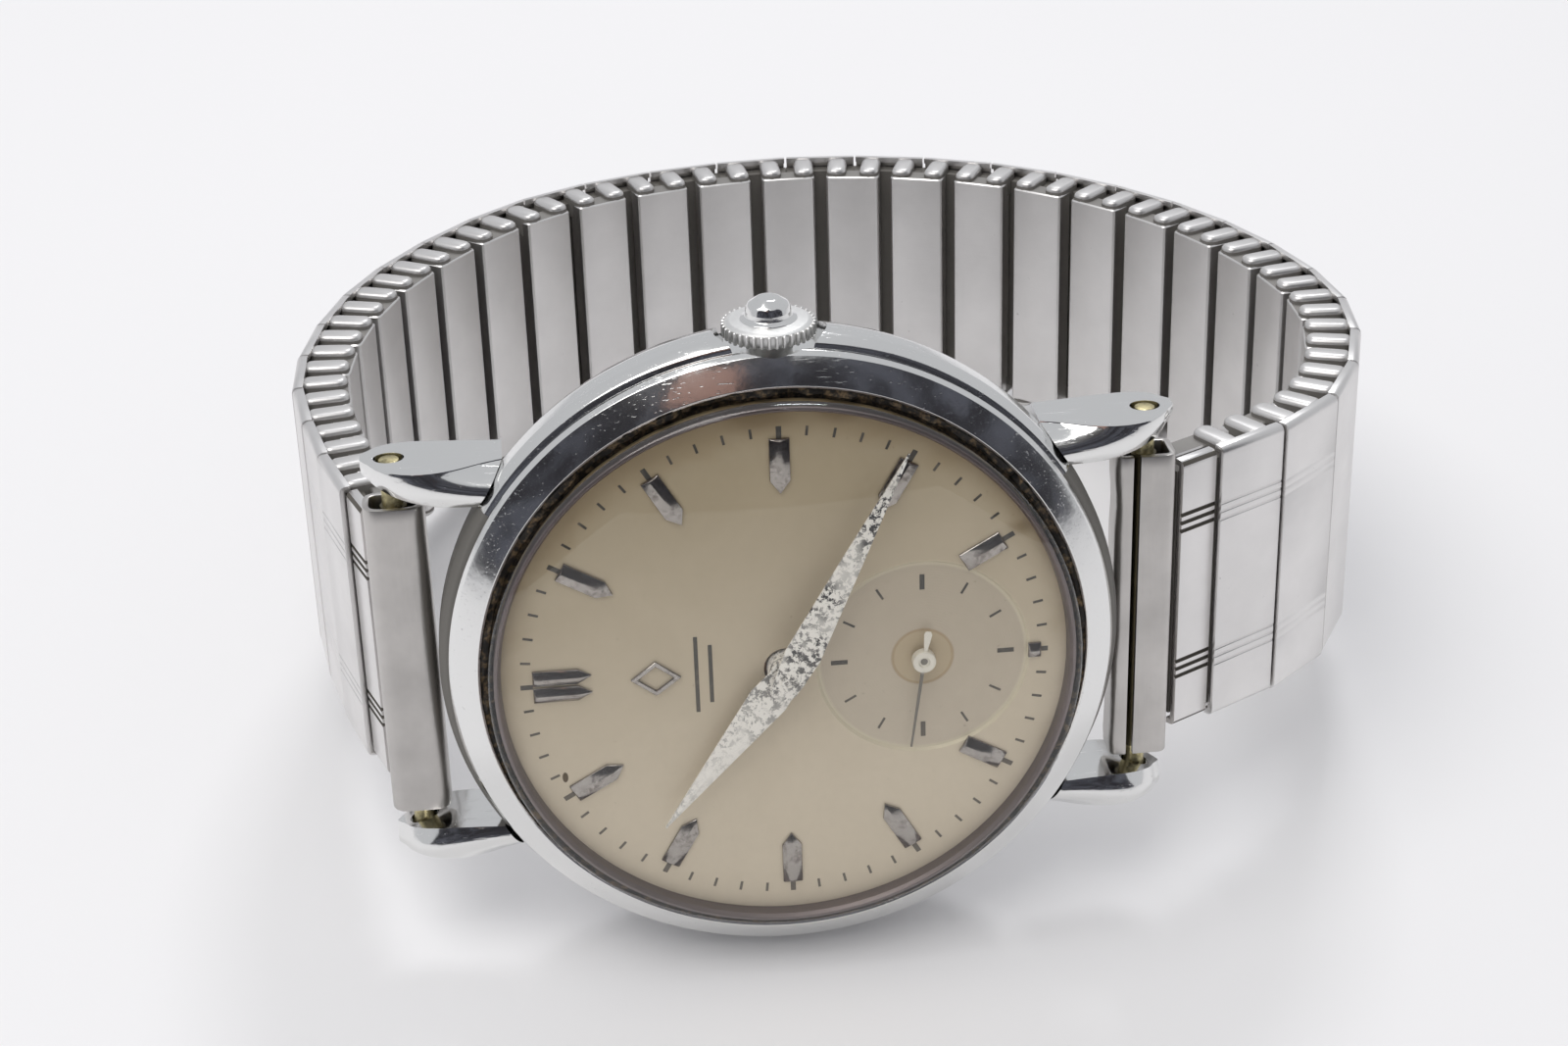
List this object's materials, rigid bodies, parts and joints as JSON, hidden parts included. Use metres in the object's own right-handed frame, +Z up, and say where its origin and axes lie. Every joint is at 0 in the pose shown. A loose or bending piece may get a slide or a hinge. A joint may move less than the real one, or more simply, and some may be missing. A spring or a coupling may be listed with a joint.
{
  "type": "wristwatch",
  "caption": "Self-winding wristwatch with domed crystal, dart hour marks, small seconds at six, onion-domed crown, teardrop lugs and a sprung expansion bracelet, on its side.",
  "frame": {"origin": "centre of the bounding box at the surface the watch rests on", "axes": "+Z up, towards the crown; the dial faces -Y and leans back about 10 degrees; +X runs from 12 to 6 o'clock"},
  "size_m": [0.0588, 0.0584, 0.0345],
  "materials": {
    "polished_steel": "polished, lightly scratched",
    "satin_steel": "satin",
    "acrylic": "clear, domed",
    "dial_patina": "aged silver with brown patina",
    "plated_steel": "pitted silver plating",
    "bar_brass": "worn",
    "movement_copper": "copper-plated, grained",
    "movement_gilt": "gilt",
    "movement_steel": "ground"
  },
  "bodies": {
    "case": {"mid_case": "polished_steel", "bezel": "polished_steel", "crystal": "acrylic", "tension_ring": "polished_steel", "caseback": "satin_steel", "lug_12_upper": "polished_steel", "lug_12_lower": "polished_steel", "lug_6_upper": "polished_steel", "lug_6_lower": "polished_steel", "dial": "dial_patina", "mainplate": "movement_copper", "train_bridge": "movement_copper", "balance_cock": "movement_copper", "spring_bar_12": "bar_brass", "spring_bar_6": "bar_brass"},
    "stem": {"stem": "movement_steel"},
    "crown": {"crown": "polished_steel"},
    "centre_arbor": {"centre_wheel": "movement_gilt", "minute_hand": "plated_steel"},
    "hour_hand": {"hour_hand": "plated_steel"},
    "fourth_arbor": {"fourth_wheel": "movement_gilt", "seconds_hand": "plated_steel"},
    "third_wheel": {"third_wheel": "movement_gilt"},
    "escape_wheel": {"escape_wheel": "movement_steel"},
    "barrel": {"barrel": "movement_gilt"},
    "ratchet_wheel": {"ratchet_wheel": "movement_steel"},
    "pallet_fork": {"pallet_fork": "movement_steel"},
    "balance_wheel": {"balance_wheel": "movement_gilt"},
    "winding_weight": {"winding_weight": "movement_copper"},
    "end_piece_12": {"end_piece_12": "satin_steel"},
    "end_piece_6": {"end_piece_6": "satin_steel"},
    "link_01": {"link_01": "satin_steel"},
    "link_02": {"link_02": "satin_steel"},
    "link_03": {"link_03": "satin_steel"},
    "link_04": {"link_04": "satin_steel"},
    "link_05": {"link_05": "satin_steel"},
    "link_06": {"link_06": "satin_steel"},
    "link_07": {"link_07": "satin_steel"},
    "link_08": {"link_08": "satin_steel"},
    "link_09": {"link_09": "satin_steel"},
    "link_10": {"link_10": "satin_steel"},
    "link_11": {"link_11": "satin_steel"},
    "link_12": {"link_12": "satin_steel"},
    "link_13": {"link_13": "satin_steel"},
    "link_14": {"link_14": "satin_steel"},
    "link_15": {"link_15": "satin_steel"},
    "link_16": {"link_16": "satin_steel"},
    "link_17": {"link_17": "satin_steel"},
    "link_18": {"link_18": "satin_steel"},
    "link_19": {"link_19": "satin_steel"},
    "link_20": {"link_20": "satin_steel"},
    "link_21": {"link_21": "satin_steel"},
    "link_22": {"link_22": "satin_steel"},
    "link_23": {"link_23": "satin_steel"},
    "link_24": {"link_24": "satin_steel"},
    "link_25": {"link_25": "satin_steel"},
    "link_26": {"link_26": "satin_steel"},
    "link_27": {"link_27": "satin_steel"},
    "link_28": {"link_28": "satin_steel"},
    "link_29": {"link_29": "satin_steel"}
  },
  "joints": [
    {"name": "seconds_hand_turn", "type": "hinge", "parent": "case", "child": "fourth_arbor", "pos_m": [0.00166, -0.02224, 0.01667], "axis": [0, 0.985, -0.1723], "continuous": true},
    {"name": "minute_hand_turn", "type": "hinge", "parent": "case", "child": "centre_arbor", "pos_m": [-0.00511, -0.02224, 0.01667], "axis": [0, 0.985, -0.1723], "continuous": true},
    {"name": "hour_hand_turn", "type": "hinge", "parent": "case", "child": "hour_hand", "pos_m": [-0.00511, -0.02224, 0.01667], "axis": [0, 0.985, -0.1723], "continuous": true},
    {"name": "third_wheel_turn", "type": "hinge", "parent": "case", "child": "third_wheel", "pos_m": [-0.00151, -0.02303, 0.01213], "axis": [0, 0.985, -0.1723], "continuous": true},
    {"name": "escape_wheel_turn", "type": "hinge", "parent": "case", "child": "escape_wheel", "pos_m": [0.00449, -0.02303, 0.01213], "axis": [0, 0.985, -0.1723], "continuous": true},
    {"name": "barrel_turn", "type": "hinge", "parent": "case", "child": "barrel", "pos_m": [-0.00991, -0.02146, 0.02115], "axis": [0, 0.985, -0.1723], "continuous": true},
    {"name": "balance_swing", "type": "hinge", "parent": "case", "child": "balance_wheel", "pos_m": [-0.00251, -0.02376, 0.008], "axis": [0, 0.985, -0.1723], "range_deg": [-220, 220], "stiffness_Nm_per_rad": 0.00000002},
    {"name": "pallet_rock", "type": "hinge", "parent": "case", "child": "pallet_fork", "pos_m": [0.00192, -0.0233, 0.01061], "axis": [0, 0.985, -0.1723], "range_deg": [-8, 8]},
    {"name": "weight_swing", "type": "hinge", "parent": "case", "child": "winding_weight", "pos_m": [-0.00511, -0.02224, 0.01667], "axis": [0, 0.985, -0.1723], "range_deg": [-100, 100]},
    {"name": "crown_pull", "type": "slide", "parent": "case", "child": "stem", "axis": [0, 0.1723, 0.985], "range_m": [0, 0.0009]},
    {"name": "crown_turn", "type": "hinge", "parent": "stem", "child": "crown", "pos_m": [-0.00511, -0.01909, 0.03236], "axis": [0, 0.1723, 0.985], "continuous": true},
    {"name": "ratchet_turn", "type": "hinge", "parent": "case", "child": "ratchet_wheel", "pos_m": [-0.00991, -0.02146, 0.02115], "axis": [0, 0.985, -0.1723], "continuous": true},
    {"name": "bracelet_flex", "type": "hinge", "parent": "case", "child": "end_piece_12", "pos_m": [-0.02361, -0.02096, 0.01644], "axis": [0, 0.1723, 0.985], "range_deg": [-2, 2], "stiffness_Nm_per_rad": 0.05},
    {"name": "end_piece_6_hinge", "type": "hinge", "parent": "case", "child": "end_piece_6", "pos_m": [0.01339, -0.02096, 0.01644], "axis": [0, 0.1723, 0.985], "range_deg": [-2.25, 2.25]},
    {"name": "bracelet_stretch", "type": "slide", "parent": "end_piece_12", "child": "link_01", "axis": [-0.3017, 0.9391, -0.1643], "range_m": [0, 0.0015], "stiffness_N_per_m": 4000, "springref_m": -0.0003},
    {"name": "link_02_hinge", "type": "hinge", "parent": "link_01", "child": "link_02", "pos_m": [-0.02619, -0.01304, 0.01506], "axis": [0, 0.1723, 0.985], "range_deg": [-0.024, 0.024]},
    {"name": "link_03_slide", "type": "slide", "parent": "link_02", "child": "link_03", "axis": [-0.1973, 0.9657, -0.1689], "range_m": [-0.00001, 0.00122]},
    {"name": "link_04_slide", "type": "slide", "parent": "link_03", "child": "link_04", "axis": [-0.08, 0.9819, -0.1718], "range_m": [-0.00001, 0.000967]},
    {"name": "link_05_hinge", "type": "hinge", "parent": "link_04", "child": "link_05", "pos_m": [-0.02773, -0.00037, 0.01284], "axis": [0, 0.1723, 0.985], "range_deg": [-2.19, 2.19]},
    {"name": "link_06_slide", "type": "slide", "parent": "link_05", "child": "link_06", "axis": [0.221, 0.9607, -0.1681], "range_m": [-0.00001, 0.00053]},
    {"name": "link_07_slide", "type": "slide", "parent": "link_06", "child": "link_07", "axis": [0.3466, 0.924, -0.1616], "range_m": [-0.00001, 0.000413]},
    {"name": "link_08_hinge", "type": "hinge", "parent": "link_07", "child": "link_08", "pos_m": [-0.02401, 0.01183, 0.0107], "axis": [0, 0.1723, 0.985], "range_deg": [-2.41, 2.41]},
    {"name": "link_09_slide", "type": "slide", "parent": "link_08", "child": "link_09", "axis": [0.5827, 0.8005, -0.1401], "range_m": [-0.00001, 0.00026]},
    {"name": "link_10_slide", "type": "slide", "parent": "link_09", "child": "link_10", "axis": [0.6837, 0.7188, -0.1258], "range_m": [-0.00001, 0.000214]},
    {"name": "link_11_hinge", "type": "hinge", "parent": "link_10", "child": "link_11", "pos_m": [-0.01571, 0.02159, 0.009], "axis": [0, 0.1723, 0.985], "range_deg": [-0.63, 0.63]},
    {"name": "link_12_slide", "type": "slide", "parent": "link_11", "child": "link_12", "axis": [0.9085, 0.4117, -0.072], "range_m": [-0.00001, 0.000139]},
    {"name": "link_13_slide", "type": "slide", "parent": "link_12", "child": "link_13", "axis": [0.9628, 0.2661, -0.0466], "range_m": [-0.00001, 0.000126]},
    {"name": "link_14_hinge", "type": "hinge", "parent": "link_13", "child": "link_14", "pos_m": [-0.00368, 0.02609, 0.00821], "axis": [0, 0.1723, 0.985], "range_deg": [-3.2, 3.2]},
    {"name": "link_29_slide", "type": "slide", "parent": "end_piece_6", "child": "link_29", "axis": [0.8642, 0.4957, -0.0867], "range_m": [-0.00001, 0.00107]},
    {"name": "link_28_hinge", "type": "hinge", "parent": "link_29", "child": "link_28", "pos_m": [0.02058, -0.0166, 0.01568], "axis": [0, 0.1723, 0.985], "range_deg": [-0.082, 0.082]},
    {"name": "link_27_slide", "type": "slide", "parent": "link_28", "child": "link_27", "axis": [0.6165, 0.7755, -0.1357], "range_m": [-0.00001, 0.000945]},
    {"name": "link_26_slide", "type": "slide", "parent": "link_27", "child": "link_26", "axis": [0.3992, 0.9031, -0.158], "range_m": [-0.00001, 0.000851]},
    {"name": "link_25_hinge", "type": "hinge", "parent": "link_26", "child": "link_25", "pos_m": [0.02725, -0.00602, 0.01383], "axis": [0, 0.1723, 0.985], "range_deg": [-2.08, 2.08]},
    {"name": "link_24_slide", "type": "slide", "parent": "link_25", "child": "link_24", "axis": [0.018, 0.9849, -0.1723], "range_m": [-0.00001, 0.000708]},
    {"name": "link_23_slide", "type": "slide", "parent": "link_24", "child": "link_23", "axis": [-0.1859, 0.9679, -0.1693], "range_m": [-0.00001, 0.000641]},
    {"name": "link_22_hinge", "type": "hinge", "parent": "link_23", "child": "link_22", "pos_m": [0.02629, 0.00658, 0.01162], "axis": [0, 0.1723, 0.985], "range_deg": [-2.11, 2.11]},
    {"name": "link_21_slide", "type": "slide", "parent": "link_22", "child": "link_21", "axis": [-0.4414, 0.8839, -0.1546], "range_m": [-0.00001, 0.000567]},
    {"name": "link_20_slide", "type": "slide", "parent": "link_21", "child": "link_20", "axis": [-0.5623, 0.8146, -0.1425], "range_m": [-0.00001, 0.000535]},
    {"name": "link_19_hinge", "type": "hinge", "parent": "link_20", "child": "link_19", "pos_m": [0.01976, 0.01757, 0.0097], "axis": [0, 0.1723, 0.985], "range_deg": [-0.51, 0.51]},
    {"name": "link_18_slide", "type": "slide", "parent": "link_19", "child": "link_18", "axis": [-0.7705, 0.6279, -0.1098], "range_m": [-0.00001, 0.000484]},
    {"name": "link_17_slide", "type": "slide", "parent": "link_18", "child": "link_17", "axis": [-0.8701, 0.4856, -0.0849], "range_m": [-0.00001, 0.000462]},
    {"name": "link_16_hinge", "type": "hinge", "parent": "link_17", "child": "link_16", "pos_m": [0.00913, 0.02472, 0.00845], "axis": [0, 0.1723, 0.985], "range_deg": [-2.37, 2.37]},
    {"name": "link_15_slide", "type": "slide", "parent": "link_16", "child": "link_15", "axis": [-0.9818, 0.1872, -0.0327], "range_m": [-0.00001, 0.000438]}
  ],
  "couplings": [
    {"joint": "minute_hand_turn", "follows": "seconds_hand_turn", "ratio": 0.016667},
    {"joint": "hour_hand_turn", "follows": "seconds_hand_turn", "ratio": 0.0013889},
    {"joint": "third_wheel_turn", "follows": "seconds_hand_turn", "ratio": -0.13333},
    {"joint": "escape_wheel_turn", "follows": "seconds_hand_turn", "ratio": -10},
    {"joint": "barrel_turn", "follows": "seconds_hand_turn", "ratio": -0.0027778},
    {"joint": "pallet_rock", "follows": "balance_swing", "ratio": 0.036364},
    {"joint": "ratchet_turn", "follows": "crown_turn", "ratio": -0.3},
    {"joint": "end_piece_6_hinge", "follows": "bracelet_flex", "ratio": -1.1209},
    {"joint": "link_02_hinge", "follows": "bracelet_flex", "ratio": 0.011685},
    {"joint": "link_03_slide", "follows": "bracelet_stretch", "ratio": 0.80932},
    {"joint": "link_04_slide", "follows": "bracelet_stretch", "ratio": 0.63819},
    {"joint": "link_05_hinge", "follows": "bracelet_flex", "ratio": -1.0937},
    {"joint": "link_06_slide", "follows": "bracelet_stretch", "ratio": 0.34681},
    {"joint": "link_07_slide", "follows": "bracelet_stretch", "ratio": 0.26889},
    {"joint": "link_08_hinge", "follows": "bracelet_flex", "ratio": -1.2027},
    {"joint": "link_09_slide", "follows": "bracelet_stretch", "ratio": 0.16668},
    {"joint": "link_10_slide", "follows": "bracelet_stretch", "ratio": 0.13583},
    {"joint": "link_11_hinge", "follows": "bracelet_flex", "ratio": -0.31467},
    {"joint": "link_12_slide", "follows": "bracelet_stretch", "ratio": 0.08615},
    {"joint": "link_13_slide", "follows": "bracelet_stretch", "ratio": 0.077169},
    {"joint": "link_14_hinge", "follows": "bracelet_flex", "ratio": 1.5993},
    {"joint": "link_29_slide", "follows": "bracelet_stretch", "ratio": 0.7038},
    {"joint": "link_28_hinge", "follows": "bracelet_flex", "ratio": -0.040511},
    {"joint": "link_27_slide", "follows": "bracelet_stretch", "ratio": 0.62347},
    {"joint": "link_26_slide", "follows": "bracelet_stretch", "ratio": 0.56057},
    {"joint": "link_25_hinge", "follows": "bracelet_flex", "ratio": 1.0398},
    {"joint": "link_24_slide", "follows": "bracelet_stretch", "ratio": 0.46516},
    {"joint": "link_23_slide", "follows": "bracelet_stretch", "ratio": 0.42099},
    {"joint": "link_22_hinge", "follows": "bracelet_flex", "ratio": 1.0534},
    {"joint": "link_21_slide", "follows": "bracelet_stretch", "ratio": 0.37149},
    {"joint": "link_20_slide", "follows": "bracelet_stretch", "ratio": 0.35016},
    {"joint": "link_19_hinge", "follows": "bracelet_flex", "ratio": 0.25152},
    {"joint": "link_18_slide", "follows": "bracelet_stretch", "ratio": 0.31622},
    {"joint": "link_17_slide", "follows": "bracelet_stretch", "ratio": 0.30119},
    {"joint": "link_16_hinge", "follows": "bracelet_flex", "ratio": -1.1834},
    {"joint": "link_15_slide", "follows": "bracelet_stretch", "ratio": 0.28516}
  ]
}
